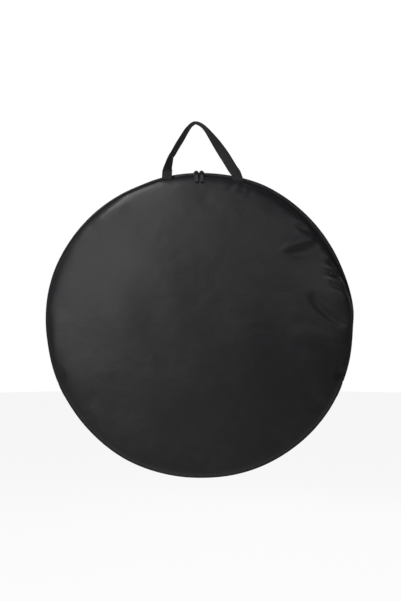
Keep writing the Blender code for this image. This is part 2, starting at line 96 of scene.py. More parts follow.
# How much of the zip strip shows outside the front panel's edge, as (clock angle, millimetres)
STRIP_WIDTHS = (
    (-180, 2.2), (-112, 2.2), (-90, 2.4), (-80, 2.9), (-65, 4.8), (-52, 7.2), (-40, 8.8),
    (-20, 9.6), (0, 10), (20, 11), (36, 12.4), (50, 14.2), (62, 13.6), (72, 8.6),
    (80, 4.6), (87, 2.6), (96, 2.2), (112, 2.2),
)

# Folds of the front cloth, in millimetres from the bag's centre as the front is seen:
# start, end, height out of the face, half width at the start, half width at the end, bend
FRONT_FOLDS = (
    ((196, 168), (290, 190), -3.8, 6, 20, -5),
    ((190, 182), (276, 212), 4.4, 7, 16, 4),
    ((226, 240), (262, 222), -3, 5, 10, 2),
    ((222, 256), (266, 238), 2.6, 6, 11, 3),
    ((298, 158), (354, 130), -5, 4, 7, 2),
    ((290, 172), (348, 146), 2.4, 5, 8, 2),
    ((292, 130), (358, 110), -6.4, 4.5, 7, 2),
    ((294, 143), (358, 121), 3, 5, 7, 2),
    ((302, 104), (360, 82), -6.4, 4.5, 7, 0),
    ((298, 117), (360, 96), 3.4, 5, 7, 0),
    ((258, 74), (352, 4), -9, 9, 10, -10),
    ((206, -14), (346, -40), 3.4, 17, 20, 6),
    ((212, -52), (340, -78), -2.8, 20, 22, 5),
    ((70, 322), (84, 352), -2.4, 3.5, 5, 0),
    ((94, 318), (106, 344), -2.4, 3.5, 5, 0),
    ((112, 306), (124, 334), -1.6, 3.5, 5, 0),
    ((-330, 40), (-352, -90), 2.4, 20, 14, -6),
    ((-350, -124), (-322, -114), -4, 8.5, 9, 0),
    ((350, -118), (322, -108), -4, 8.5, 9, 0),
    ((-250, 230), (-180, 300), 2.4, 26, 22, 10),
)

# Round swellings of the front cloth, in millimetres: place, height, two radii, turn in degrees
FRONT_PILLOWS = (
    ((346, 88), 17, 80, 56, 103),
    ((250, 150), -2, 50, 34, 70),
    ((-180, 60), 2.5, 90, 60, 60),
    ((60, 190), -2, 80, 60, 20),
)

# Settling of the cloth: grid, steps, spare cloth, the clock angle that has most of it, the share
# beyond which it is held, and the most that it may move
SETTLE_ROWS = 60
SETTLE_COLUMNS = 300
SETTLE_STEPS = 20
SETTLE_SPARE = (0.002, 0.012)
SETTLE_MIDDLE = 78
SETTLE_HELD = 0.985
SETTLE_MOST = 0.0050
settled_walls = {}

# Handle. The feet's places, from the bag's centre, are (across, out, up, turn in degrees), and
# their ends are sewn in under the panel's edge.
STRAP_WIDTH = 0.0240
STRAP_THICKNESS = 0.0022
STRAP_STEPS = 220
HANDLE_TOP = (-0.0113, 0.4878)
LEFT_LEG = -0.0793
RIGHT_LEG = 0.0852
LEFT_FOOT = -0.0798
RIGHT_FOOT = 0.0897
LEG_DEPTH = 0.0099
LOOP_BOTTOM = 0.36585
LOOP_BLEND = (-0.002, 0.010)
LEFT_FOOT_PLACES = (
    (LEFT_FOOT, -LEG_DEPTH + 0.0012, 0.3390, 0),
    (LEFT_FOOT, -LEG_DEPTH - 0.0004, 0.3510, 0),
)
RIGHT_FOOT_PLACES = (
    (RIGHT_FOOT + 0.0010, -LEG_DEPTH - 0.0004, 0.3510, 0),
    (RIGHT_FOOT + 0.0058, -LEG_DEPTH + 0.0012, 0.3370, 0),
)

# Each leg of the handle, as (share of the way across, share of the way up, turn in degrees)
LEFT_LEG_SHARES = (
    (0, 0, 0), (0.012, 0.05, 16), (0.038, 0.131, 40), (0.106, 0.27, 56),
    (0.151, 0.342, 65), (0.229, 0.41, 64), (0.371, 0.552, 63), (0.526, 0.693, 64),
    (0.675, 0.834, 68), (0.831, 0.947, 77), (0.94, 0.991, 81), (1, 1, 85),
)
RIGHT_LEG_SHARES = (
    (0, 0, 0), (0.03, 0.036, 2), (0.098, 0.115, 4), (0.237, 0.298, 6),
    (0.365, 0.454, 22), (0.484, 0.593, 38), (0.636, 0.763, 59), (0.761, 0.889, 73),
    (0.853, 0.954, 78), (0.94, 0.99, 82), (1, 1, 85),
)

# Zip
COIL_DROP = 0.0013
LOOP_PITCH = 0.0015
LOOP_WIRE = 0.00038
LOOP_REACH = 0.0016
LOOP_RISE = 0.00096
COIL_GAP = 0.00005
CORE_RISE = 0.00072
CORE_REACH = 0.00120
TAPE_CLOTH = 0.0006
BINDING_CLOTH = 0.0008
TAPE_CUT = 0.0095

# Pulls: the place across midway between them, how far each hangs from it, where a tab begins
# below the origin, and the raised rim at its sides and foot
PULL_MIDDLE = 0.0083
PULL_APART = 0.0063
PULL_TOP = 0.1215
PULL_SIDE_RIM = (0.0019, 0.0024)
PULL_FOOT_RIM = 0.0190

# Stitches: pitches, thread, how far a row lies inside its edge, the radius of the ring on a hub
# patch, and the close zigzag across each foot, with the height of the seam below it
STITCH_PITCH = 0.0030
STITCH_WIDTH = 0.0007
SEAM_ROW = 0.0034
HEM_ROW = 0.0036
RING_ROW = 0.051
RING_PITCH = 0.0034
BARTACK_COUNT = 26
BARTACK_RISE = 0.0105
BARTACK_LENGTH = 0.0030
BARTACK_SEAMS = (("left", LEFT_FOOT, 0.3450), ("right", RIGHT_FOOT, 0.3420))

# Floor, and the lamps as (name, place, power, size)
FLOOR_RADIUS = 9
FLOOR_SIDES = 64
FLOOR_Z = -1.45
FLOOR_SHARE = 0.84
LAMPS = (
    ("key", (-1.34, -2.16, -0.26), 37, 1.5),
    ("fill", (-0.60, -2.13, 0.89), 16, 1.3),
    ("right", (1.40, -2.00, 0.45), 14, 1.4),
    ("top", (-1.1, -1.0, 1.55), 54, 0.6),
    ("back", (1.00, 2.40, 0.50), 22, 1.6),
)


# Shapes worked out on grids

def soft_table(angle, stations, spread=3.0):
    """Reads a table of (clock angle, millimetres) at any angle, in metres.

    Straight lines between the stations, joined round the circle, are averaged with a bell
    curve of the given spread in degrees, so that no corner is left.
    """
    places, sizes = np.array(stations, dtype=float).T
    grid = np.arange(-180, 180, 0.5)
    rough = np.interp(grid, places, sizes, period=360)
    offsets = np.arange(-24, 25) * 0.5
    bell = np.exp(-((offsets / spread) ** 2))
    padded = np.concatenate([rough[-24:], rough, rough[:24]])
    even = np.convolve(padded, bell / bell.sum(), mode="valid")
    return np.interp(angle, grid, even, period=360) / 1000


def ease(low, high, value):
    """A smooth step from 0 at low to 1 at high."""
    share = np.clip((value - low) / (high - low), 0, 1)
    return share * share * (3 - 2 * share)


def wrap(angle):
    """The same clock angle, from -180 to 180."""
    return (angle + 180) % 360 - 180


def unit(rows):
    """The same directions, each of length 1."""
    return rows / np.linalg.norm(rows, axis=1, keepdims=True)


def squared(rows, along):
    """What each direction has square to another, which has length 1, brought to length 1."""
    return unit(rows - (rows * along).sum(1, keepdims=True) * along)


def clock_point(angle, radius, y):
    """The world point at a clock angle, a radius from the bag's axis and a place along Y."""
    turn = np.radians(angle)
    turn, radius, y = np.broadcast_arrays(turn, radius, y)
    return np.stack([radius * np.sin(turn), y, radius * np.cos(turn)], -1) + CENTRE


def zip_share(angle):
    """1 where the two walls meet in the zip, and 0 round the lower rim."""
    return 1 - ease(ZIP_END - 7, ZIP_END + 5, np.abs(wrap(angle)))


def rim_radius(angle):
    """Radius of the bag's outline: the chain of the zip, or the fold of the lower binding."""
    return BAG_RADIUS + soft_table(angle, RIM_SWELLS)


def edge_radius(side, angle):
    """Radius of a wall's edge along the zip: the outline less the strip outside that edge."""
    strip = soft_table(angle, STRIP_WIDTHS) if side == FRONT else BACK_INSET
    return rim_radius(angle) - strip


def seam_depth(side, angle):
    """Depth of a zip seam. The tight cloth pulls the front one forward at the upper left."""
    at = wrap(angle)
    pull = SEAM_PULL * ease(-47, -29, at) * (1 - ease(-15, -10, at))
    return SEAM_DEPTH + pull * (side == FRONT)


def fold_height(points):
    """Height of the front's folds and round swellings over its face at given points.

    Each fold runs along a slightly bent line. Its height falls off beside that line as a bell
    curve, whose width grows from the line's start to its end, and fades in at both ends. The
    round swellings are bell curves in both directions.
    """
    x = (points[..., 0] - CENTRE[0]) * 1000
    z = (points[..., 2] - CENTRE[2]) * 1000
    total = np.zeros_like(x)
    for start, end, height, first_width, last_width, bend in FRONT_FOLDS:
        run = np.subtract(end, start)
        length = np.hypot(*run)
        along = ((x - start[0]) * run[0] + (z - start[1]) * run[1]) / length**2
        beside = ((z - start[1]) * run[0] - (x - start[0]) * run[1]) / length
        inside = np.clip(along, 0, 1)
        beside = beside - bend * 4 * inside * (1 - inside)
        width = first_width + (last_width - first_width) * inside
        fade = ease(-0.12, 0.25, along) * (1 - ease(0.80, 1.10, along))
        total += height * fade * np.exp(-((beside / width) ** 2))
    for place, height, long_radius, short_radius, turn in FRONT_PILLOWS:
        across, up = x - place[0], z - place[1]
        along = (across * cos(radians(turn)) + up * sin(radians(turn))) / long_radius
        beside = (up * cos(radians(turn)) - across * sin(radians(turn))) / short_radius
        total += height * np.exp(-(along**2 + beside**2))
    return total / 1000


def slow_swell(points, seed):
    """Gentle waves of a stuffed wall: five sines of fixed random direction, 120 to 260 mm long."""
    random = np.random.default_rng(seed)
    x = points[..., 0]
    z = points[..., 2]
    total = np.zeros_like(x)
    for _ in range(5):
        turn = random.uniform(0, tau)
        length = random.uniform(0.12, 0.26)
        phase = random.uniform(0, tau)
        total += np.sin((x * cos(turn) + z * sin(turn)) * tau / length + phase)
    return total * SWELL_HEIGHT / 5


def settle_cloth(side):
    """Depths that a wall's cloth gains when it settles, on a grid of shares by clock angles.

    Blender's cloth solver runs on the wall's face, cut a little too large, most of all at the
    right, held along its seam and pressed outwards by the padding. Of the gain in depth only
    the part that varies round the clock is kept, evened out with its neighbours and bounded.
    """
    shares = np.linspace(0, 1, SETTLE_ROWS + 1)[1:]
    turns = np.arange(SETTLE_COLUMNS) * 360 / SETTLE_COLUMNS - 180
    angle, share = np.meshgrid(turns, shares)
    start = wall_points(side, angle, share)
    hub = wall_points(side, np.zeros(1), np.zeros(1))
    index = np.arange(share.size).reshape(share.shape) + 1
    after = np.roll(index, -1, axis=1)
    quads = np.stack([index[:-1], index[1:], after[1:], after[:-1]], -1).reshape(-1, 4)
    fans = np.stack([np.zeros(SETTLE_COLUMNS, dtype=int), index[0], after[0]], -1)
    if side == FRONT:
        quads, fans = quads[:, ::-1], fans[:, ::-1]
    mesh = bpy.data.meshes.new("settling")
    places = np.concatenate([hub, start.reshape(-1, 3)])
    mesh.from_pydata(places, [], quads.tolist() + fans.tolist())
    sheet = add_object("settling", mesh)
    turn_outwards(sheet, side)
    held = sheet.vertex_groups.new(name="held")
    held.add(index[share > SETTLE_HELD].tolist(), 1.0, "REPLACE")
    loose = sheet.vertex_groups.new(name="loose")
    near = (1 - ease(22, 52, np.abs(angle - SETTLE_MIDDLE))) * ease(0.45, 0.75, share)
    levels = np.round(near * 10).astype(int)
    for level in range(11):
        loose.add(index[levels == level].tolist(), level / 10, "REPLACE")
    cloth = sheet.modifiers.new("Cloth", "CLOTH")
    rules = cloth.settings
    rules.vertex_group_mass = "held"
    rules.quality = 5
    rules.mass = 0.25
    rules.tension_stiffness = rules.compression_stiffness = 18
    rules.shear_stiffness = 8
    rules.bending_stiffness = 2.0
    rules.vertex_group_shrink = "loose"
    rules.shrink_min, rules.shrink_max = -SETTLE_SPARE[0], -SETTLE_SPARE[1]
    rules.use_pressure = True
    rules.uniform_pressure_force = 0.8
    rules.effector_weights.gravity = 0
    scene = bpy.context.scene
    for step in range(1, SETTLE_STEPS + 1):
        scene.frame_set(step)
    settled = sheet.evaluated_get(bpy.context.evaluated_depsgraph_get())
    found = np.empty(3 * len(settled.data.vertices))
    settled.data.vertices.foreach_get("co", found)
    gain = (found.reshape(-1, 3)[1:].reshape(start.shape) - start)[..., 1] * side
    bpy.data.objects.remove(sheet)
    scene.frame_set(1)
    gain -= gain.mean(axis=1, keepdims=True)
    for _ in range(2):
        gain = (np.roll(gain, 1, axis=1) + 2 * gain + np.roll(gain, -1, axis=1)) / 4
        gain[1:-1] = (gain[:-2] + 2 * gain[1:-1] + gain[2:]) / 4
    gain = np.tanh(gain / SETTLE_MOST) * SETTLE_MOST * ease(0.15, 0.45, share)
    return np.concatenate([np.zeros((1, SETTLE_COLUMNS)), gain])


def settled_gain(side, angle, share):
    """The settled cloth's gain in depth, read off its grid.

    It is kept small at the handle's feet, and where the front is drawn tight at the upper left.
    """
    if side not in settled_walls:
        return 0 * share
    row = np.clip(share, 0, 1) * SETTLE_ROWS
    column = ((angle + 180) % 360) / 360 * SETTLE_COLUMNS
    grid = settled_walls[side]
    low_row = np.minimum(row.astype(int), SETTLE_ROWS - 1)
    low_column = column.astype(int) % SETTLE_COLUMNS
    down, along = row - low_row, column - column.astype(int)
    next_column = (low_column + 1) % SETTLE_COLUMNS
    upper = grid[low_row, low_column] * (1 - along) + grid[low_row, next_column] * along
    lower = grid[low_row + 1, low_column] * (1 - along) + grid[low_row + 1, next_column] * along
    at = wrap(angle)
    at_feet = (1 - ease(18, 30, np.abs(at))) * ease(0.78, 0.92, share)
    tight = 0.7 * ease(-118, -100, at) * (1 - ease(-24, -6, at)) * (side == FRONT)
    return (upper * (1 - down) + lower * down) * (1 - at_feet) * (1 - tight)


def wall_points(side, angle, share):
    """A wall's outer face at clock angles and shares of the way from its middle to its edge.

    The depth is the seam's, plus a roll that rises as one less an exponential, plus a parabola
    that crowns the middle. Folds, swells and the settled cloth's gain are added to it.
    """
    edge = edge_radius(side, angle)
    in_zip = zip_share(angle)
    if side == BACK:
        edge = edge + (rim_radius(angle) - HEM_INSET - edge) * (1 - in_zip)
    start_depth = HEM_DEPTH + (seam_depth(side, angle) - HEM_DEPTH) * in_zip
    radius = edge * share
    roll = 1 - np.exp(-edge * (1 - share) / ROLL_REACH)
    far = np.clip((radius - FLAT_RADIUS) / (edge - FLAT_RADIUS), 0, 1)
    depth = start_depth + (SHOULDER_DEPTH - start_depth) * roll + CROWN_RISE * (1 - far**2)
    points = clock_point(angle, radius, side * depth)
    fade = 1 - ease(0.90, 1.0, share)
    height = slow_swell(points, SWELL_SEEDS[side]) * fade * ease(0.10, 0.45, share)
    if side == FRONT:
        height = height + fold_height(points) * (1 - ease(0.975, 1.0, share))
    height = height + settled_gain(side, angle, share)
    points[..., 1] += side * height
    return points


def grid_normals(points):
    """Unit normals of a grid, from the cross product of its two directions."""
    down = np.gradient(points, axis=0)
    across = np.gradient(points, axis=1)
    normals = np.cross(across, down)
    sizes = np.linalg.norm(normals, axis=-1, keepdims=True)
    return normals / np.maximum(sizes, 1e-12)


def moved_in(points, distance, side):
    """The grid moved inside its wall by a distance, square to its face."""
    normals = grid_normals(points)
    flat = np.linalg.norm(normals, axis=-1) < 0.5
    normals[flat] = (0, side, 0)
    inward = np.where(normals[..., 1:2] * side > 0, -1.0, 1.0)
    return points + normals * inward * distance


def add_object(name, data):
    """A new object in the scene, of a mesh, lamp or camera."""
    made = bpy.data.objects.new(name, data)
    bpy.context.scene.collection.objects.link(made)
    return made


def make_mesh(name, points, faces, uv, weld=False):
    """A smooth mesh object, with its cut as UV map and its faces outwards.

    Welding joins points that meet, which closes seams and poles.
    """
    mesh = bpy.data.meshes.new(name)
    mesh.from_pydata(points.reshape(-1, 3), [], faces)
    corners = np.zeros(len(mesh.loops), dtype=np.int32)
    mesh.loops.foreach_get("vertex_index", corners)
    layer = mesh.uv_layers.new(name="cut")
    layer.data.foreach_set("uv", uv.reshape(-1, 2)[corners].astype(np.float32).ravel())
    work = bmesh.new()
    work.from_mesh(mesh)
    if weld:
        bmesh.ops.remove_doubles(work, verts=work.verts, dist=1e-6)
    bmesh.ops.recalc_face_normals(work, faces=work.faces)
    work.to_mesh(mesh)
    work.free()
    mesh.shade_smooth()
    return add_object(name, mesh)


def make_surface(name, points, uv, smooth_angle=60.0):
    """A welded mesh object from a grid of points, sharp where it bends more than an angle."""
    rows, columns = points.shape[:2]
    index = np.arange(rows * columns).reshape(rows, columns)
    quads = np.stack([index[:-1, :-1], index[1:, :-1], index[1:, 1:], index[:-1, 1:]], -1)
    piece = make_mesh(name, points, quads.reshape(-1, 4), uv, weld=True)
    piece.data.set_sharp_from_angle(angle=radians(smooth_angle))
    return piece


def make_solid_strip(name, loops, uv, smooth_angle):
    """A closed strip from rows of closed profiles, each end drawn to its middle and welded."""
    first = np.broadcast_to(loops[:1].mean(axis=1, keepdims=True), loops[:1].shape)
    last = np.broadcast_to(loops[-1:].mean(axis=1, keepdims=True), loops[-1:].shape)
    points = np.concatenate([first, loops, last])
    uv = np.concatenate([uv[:1], uv, uv[-1:]])
    return make_surface(name, points, uv, smooth_angle)


def finish_piece(piece, finish, slot, body, *replaced):
    """Gives a piece its material and body, and hides the nodes that it stands for.

    The body is one name, or the four values of a blend between two bodies. The slot is not used.
    """
    piece.data.materials.append(finish.material)
    if replaced:
        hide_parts(*replaced)
    if isinstance(body, tuple):
        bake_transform(piece)
    else:
        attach(piece, body)


# Materials. A near-grey is written (red and green, blue).

def tone(colour):
    """A near-grey with its blue and alpha. A colour that comes from a node stays as it is."""
    return (colour[0], colour[0], colour[1], 1) if isinstance(colour, tuple) else colour


class Socket:
    """An output of a material's nodes. Its operators add Math nodes."""

    def __init__(self, finish, output):
        self.finish = finish
        self.output = output

    def math(self, operation, *others):
        inputs = dict(enumerate((self, *others)))
        return self.finish.node("ShaderNodeMath", {"operation": operation}, inputs)

    def __add__(self, other):
        return self.math("ADD", other)

    def __sub__(self, other):
        return self.math("SUBTRACT", other)

    def __rsub__(self, other):
        return self * -1 + other

    def __mul__(self, other):
        return self.math("MULTIPLY", other)

    __radd__ = __add__
    __rmul__ = __mul__

    def wave(self):
        return self.math("SINE")

    def size(self):
        return self.math("ABSOLUTE")

    def most(self, other):
        return self.math("MAXIMUM", other)

    def ribs(self, pitch):
        """Round ribs: the size of a sine that has one hump in each pitch."""
        return (self * (pi / pitch)).wave().size()

    def step(self, low, high):
        """A smooth step from 0 at low to 1 at high."""
        inputs = {"Value": self, "From Min": low, "From Max": high}
        return self.finish.node("ShaderNodeMapRange", {"interpolation_type": "SMOOTHSTEP"}, inputs)


class Graph:
    """The nodes of a material, or of the world."""

    def __init__(self, owner):
        owner.use_nodes = True
        self.tree = owner.node_tree

    def join(self, target, value):
        if isinstance(value, Socket):
            self.tree.links.new(value.output, target)
        else:
            target.default_value = value

    def node(self, kind, settings=None, inputs=None, output=0):
        """Adds a node, its settings first and then its sockets, and gives one of its outputs."""
        made = self.tree.nodes.new(kind)
        for key, value in (settings or {}).items():
            setattr(made, key, value)
        for key, value in (inputs or {}).items():
            self.join(made.inputs[key], value)
        return None if output is None else Socket(self, made.outputs[output])

    def seen(self):
        """Clears the nodes, and gives 1 where the camera looks, straight or through glass."""
        self.tree.nodes.clear()
        names = ("Is Camera Ray", "Is Transmission Ray")
        camera, clear = (self.node("ShaderNodeLightPath", output=name) for name in names)
        return camera.most(clear)


class Finish(Graph):
    """A material of one Principled shader and the nodes that drive it."""

    def __init__(self, name, colour, roughness, metallic=0.0, **constants):
        self.material = bpy.data.materials.new(name)
        super().__init__(self.material)
        self.shader = self.tree.nodes["Principled BSDF"]
        self.set("Base Color", tone(colour))
        self.set("Roughness", roughness)
        self.set("Metallic", metallic)
        for words, value in constants.items():
            self.set(words.replace("_", " ").title().replace("Ior", "IOR"), value)

    def set(self, name, value):
        self.join(self.shader.inputs[name], value)

    def place(self):
        return self.node("ShaderNodeTexCoord", output="Object")

    def cut(self):
        """Metres along and across the cloth, from the piece's own UV map."""
        return self.axes(self.node("ShaderNodeUVMap", {"uv_map": "cut"}))[:2]

    def axes(self, vector):
        return [self.node("ShaderNodeSeparateXYZ", {}, {0: vector}, k) for k in range(3)]

    def stretched(self, vector, scale):
        return self.node("ShaderNodeMapping", {}, {"Vector": vector, "Scale": scale})

    def noise(self, vector, scale, detail=3.0, roughness=0.5):
        inputs = {"Vector": vector, "Scale": scale, "Detail": detail, "Roughness": roughness}
        return self.node("ShaderNodeTexNoise", {}, inputs)

    def mixed(self, share, first, second):
        """A colour between two others."""
        inputs = {0: share, 6: tone(first), 7: tone(second)}
        return self.node("ShaderNodeMix", {"data_type": "RGBA"}, inputs, 2)

    def coloured(self, share, first, second):
        self.set("Base Color", self.mixed(share, first, second))

    def dulled(self, share, painted_shade=0.0):
        """Takes a share of the sheen away where the surface is seen edge-on, and paints shade on a
        given mask.
        """
        edge_on = self.node("ShaderNodeLayerWeight", {}, {"Blend": 0.5}, "Facing").step(0.35, 0.95)
        matt = self.node("ShaderNodeBsdfDiffuse", {}, {"Color": (0.008, 0.008, 0.009, 1)})
        sheen = Socket(self, self.shader.outputs[0])
        # Painted shade: where the mask is set, the surface turns to the matt dark diffuse above.
        edge_dulling_and_painted_shade = (edge_on * share).most(painted_shade)
        both = self.node("ShaderNodeMixShader", {}, {0: edge_dulling_and_painted_shade, 1: sheen, 2: matt})
        self.join(self.tree.nodes["Material Output"].inputs["Surface"], both)

    def bumped(self, height, strength):
        """Relief of a height in metres."""
        inputs = {"Height": height, "Distance": 1.0, "Strength": strength}
        self.set("Normal", self.node("ShaderNodeBump", {}, inputs))


def weave_height(finish, across_pitch, along_pitch):
    """A plain weave: two crossed waves, the raised one changing with each thread."""
    u, v = finish.cut()
    warp = (u * (pi / across_pitch)).wave()
    weft = (v * (pi / along_pitch)).wave()
    over = (warp * weft).step(-0.35, 0.35)
    return over * warp.size() + (1 - over) * weft.size()


def make_coated_nylon():
    """Smooth black nylon with a soft coated sheen, faintly blue, with fine creases and dust."""
    finish = Finish("coated_nylon", (0.003, 0.004), 0.42, specular_ior_level=0.27)
    place = finish.place()
    cloud = finish.noise(place, 7, 3)
    scuff = finish.noise(place, 46, 5, 0.65)
    dust = (scuff * cloud * 1.9).step(0.40, 0.72)
    finish.coloured(dust * 0.5, (0.0022, 0.0032), (0.0060, 0.0072))
    finish.set("Roughness", cloud * 0.14 + scuff * 0.06 + 0.38)
    finish.dulled(0.85)
    crease = finish.noise(finish.stretched(place, (1, 1, 1.6)), 26, 4, 0.55)
    weave = weave_height(finish, 0.00045, 0.00045)
    finish.bumped(crease * 0.0013 + cloud * 0.006 + weave * 0.00004 + scuff * 0.00010, 0.6)
    return finish


def make_lining():
    finish = Finish("lining_cloth", (0.055, 0.060), 0.72, specular_ior_level=0.3)
    weave = weave_height(finish, 0.0006, 0.0006)
    cloud = finish.noise(finish.place(), 30, 4)
    shade = (weave * 0.5 + cloud * 0.5).step(0.1, 0.9)
    finish.coloured(shade, (0.040, 0.045), (0.072, 0.078))
    finish.set("Roughness", cloud * 0.2 + 0.6)
    finish.bumped(weave * 0.00008 + cloud * 0.0005, 0.7)
    return finish


def make_patch_cloth():
    finish = Finish("hub_patch_cloth", (0.014, 0.015), 0.62, specular_ior_level=0.4)
    weave = weave_height(finish, 0.0011, 0.0011)
    cloud = finish.noise(finish.place(), 40, 4)
    finish.coloured(weave * cloud, (0.010, 0.011), (0.030, 0.032))
    finish.set("Roughness", cloud * 0.24 + 0.48)
    finish.bumped(weave * 0.00022, 0.9)
    return finish


def make_webbing():
    """Black woven webbing: fine ribs across the strap, in chevrons that run along it."""
    finish = Finish(
        "webbing", (0.006, 0.007), 0.68,
        specular_ior_level=0.14, sheen_weight=0.09, sheen_roughness=0.45,
    )
    u, v = finish.cut()
    rows = v.ribs(0.0048)
    chevron = ((u + rows * 0.0024) * (tau / 0.0046)).wave().step(-0.6, 0.6)
    ribs = (u + rows * 0.0007).ribs(0.0011)
    threads = v.ribs(0.0012)
    height = ribs * 0.6 + threads * 0.4
    fuzz = finish.noise(finish.place(), 420, 3, 0.6)
    shade = (height * 0.2 + fuzz * 0.2 + chevron * 0.7).step(0.15, 0.95)
    finish.coloured(shade, (0.0018, 0.0021), (0.011, 0.012))
    finish.set("Roughness", fuzz * 0.10 + 0.76 - chevron * 0.16)
    finish.bumped(height * 0.00010 + chevron * 0.00008 + fuzz * 0.00003, 0.7)
    return finish


def make_zip_tape():
    """Black zip tape: fine knitted ribs along the chain, crossed by close rows.

    Beside the panel's edge it has painted shade: a matt dark band for the shadow in the groove
    there.
    """
    finish = Finish("zip_tape", (0.006, 0.007), 0.64, specular_ior_level=0.30)
    u, v = finish.cut()
    ribs = v.ribs(0.0009)
    rows = (u + ribs * 0.0003).ribs(0.0007)
    fuzz = finish.noise(finish.place(), 500, 2)
    height = ribs * 0.65 + rows * 0.35
    finish.coloured(height * fuzz, (0.0035, 0.0040), (0.012, 0.013))
    finish.set("Roughness", fuzz * 0.2 + 0.50)
    # Painted shade: matt dark over the half of the tape nearest the panel's edge, fading out by two
    # thirds.
    painted_groove_shade = 1 - v.step(TAPE_CUT * 0.50, TAPE_CUT * 0.66)
    finish.dulled(0.7, painted_groove_shade * 0.95)
    finish.bumped(height * 0.00016, 0.9)
    return finish


def make_binding_tape():
    """Black grosgrain: round ribs across the tape."""
    finish = Finish("binding_tape", (0.007, 0.008), 0.66, specular_ior_level=0.2)
    u, _ = finish.cut()
    ribs = u.ribs(0.0008)
    fuzz = finish.noise(finish.place(), 360, 3)
    finish.coloured(ribs * fuzz, (0.004, 0.0045), (0.014, 0.015))
    finish.set("Roughness", fuzz * 0.2 + 0.56)
    finish.dulled(0.8)
    finish.bumped(ribs * 0.00018, 0.8)
    return finish


def make_coil_plastic():
    finish = Finish("zip_coil", (0.008, 0.009), 0.60, specular_ior_level=0.08)
    wear = finish.noise(finish.place(), 900, 2)
    finish.coloured(wear.step(0.45, 0.75), (0.005, 0.006), (0.014, 0.015))
    finish.set("Roughness", wear * 0.3 + 0.45)
    finish.dulled(0.8)
    return finish


def make_thread():
    finish = Finish("sewing_thread", (0.012, 0.013), 0.7, specular_ior_level=0.2)
    u, v = finish.cut()
    twist = ((u * 2 + v) * (tau / 0.0009)).wave()
    finish.coloured(twist.step(-1.0, 1.0), (0.009, 0.010), (0.024, 0.026))
    finish.bumped(twist * 0.00005, 0.6)
    return finish


def make_slider_metal():
    """Black enamelled casting, rubbed to grey metal on its high spots."""
    finish = Finish("slider_metal", (0.030, 0.033), 0.32, 0.6, specular_ior_level=0.5)
    place = finish.place()
    rub = finish.noise(place, 340, 5, 0.7) + finish.noise(place, 900, 2) * 0.4
    rub = rub.step(0.72, 0.92)
    finish.coloured(rub, (0.026, 0.029), (0.30, 0.31))
    finish.set("Metallic", rub * 0.5 + 0.5)
    finish.set("Roughness", finish.noise(place, 600, 3) * 0.25 + 0.22)
    finish.bumped(finish.noise(place, 700, 3) * 0.00006, 0.6)
    return finish


def make_pull_metal():
    """Black enamel like the sliders', rubbed through to dark grey metal down the tab."""
    finish = Finish("pull_metal", (0.09, 0.095), 0.40, 0.8)
    place = finish.place()
    brushed = finish.noise(finish.stretched(place, (9, 1, 0.6)), 420, 4, 0.6)
    stain = finish.noise(place, 160, 3)
    drop = finish.axes(place)[2] * -1 - PULL_TOP
    rubbed = (drop * 90 + stain * 0.6).step(0.3, 0.9)
    worn = finish.mixed(brushed * 0.6 + stain * 0.4, (0.016, 0.018), (0.058, 0.062))
    finish.coloured(rubbed, (0.008, 0.009), worn)
    finish.set("Roughness", brushed * 0.20 + 0.34)
    beside = ((finish.axes(place)[0] - PULL_MIDDLE).size() - PULL_APART).size()
    rim = beside.step(*PULL_SIDE_RIM).most((drop - PULL_FOOT_RIM).step(0.0, 0.0006))
    finish.bumped(rim * 0.00035 + brushed * 0.00004, 0.9)
    return finish


# Walls

def wall_grid(side, steps, shares):
    """A wall's face on a polar grid, with its cut: metres across and up the flat panel."""
    angle, share = np.meshgrid(np.linspace(-180, 180, steps + 1), shares)
    points = wall_points(side, angle, share)
    return points, points[..., (0, 2)]


def make_cloth_wall(name, side):
    """The outer cloth of a wall: its face, with a thickness that lies inside it."""
    shares = np.concatenate([np.linspace(0, 0.80, 40), np.linspace(0.80, 1.0, 38)[1:]])
    points, uv = wall_grid(side, 300, shares)
    piece = make_surface(name, points, uv)
    turn_outwards(piece, side)
    wall = piece.modifiers.new("Thickness", "SOLIDIFY")
    wall.thickness = CLOTH
    wall.offset = -1
    return piece


def turn_outwards(piece, side):
    """Makes an open sheet's faces point away from the bag's middle plane."""
    facing = sum(face.normal.y * face.area for face in piece.data.polygons)
    if facing * side < 0:
        piece.data.flip_normals()


def kept_under(points, side):
    """Lowers a grid where it stands steeply over its neighbours, so that the folds clear it.

    What a point stands over the least depth around it, beyond a small drop, is taken away.
    """
    depth = points[..., 1] * side
    above = np.concatenate([depth[:1], depth[:-1]])
    below = np.concatenate([depth[1:], depth[-1:]])
    low = np.minimum(np.minimum(above, below), depth)
    ring = low[:, :-1]
    low[:, :-1] = np.minimum(ring, np.minimum(np.roll(ring, 1, 1), np.roll(ring, -1, 1)))
    low[:, -1] = low[:, 0]
    points[..., 1] -= side * np.clip(depth - low - STEEP_DROP, 0, None)
    return points


def make_pad_wall(name, side):
    """The foam with its lining: a closed pad inside the cloth.

    Its thickness falls as a square root beyond 0.855 of the way out, to about two fifths.
    """
    shares = np.concatenate([np.linspace(0, 0.85, 40), np.linspace(0.85, 0.972, 20)[1:]])
    face, uv = wall_grid(side, 240, shares)
    face = kept_under(face, side)
    outer = moved_in(face, CLOTH + AIR, side)
    taper = np.sqrt(np.clip((0.985 - shares) / 0.13, 0, 1))
    quilt = 0.85 + 0.15 * ease(1.0, 0.86, shares)
    thickness = (PAD * (0.25 + 0.75 * taper) * quilt)[:, None, None]
    inner = moved_in(face, CLOTH + AIR + thickness, side)
    points = np.concatenate([outer, inner[::-1]])
    cut = np.concatenate([uv, uv[::-1] + (1.0, 0.0)])
    return make_surface(name, points, cut)


# Strips carried round the rim

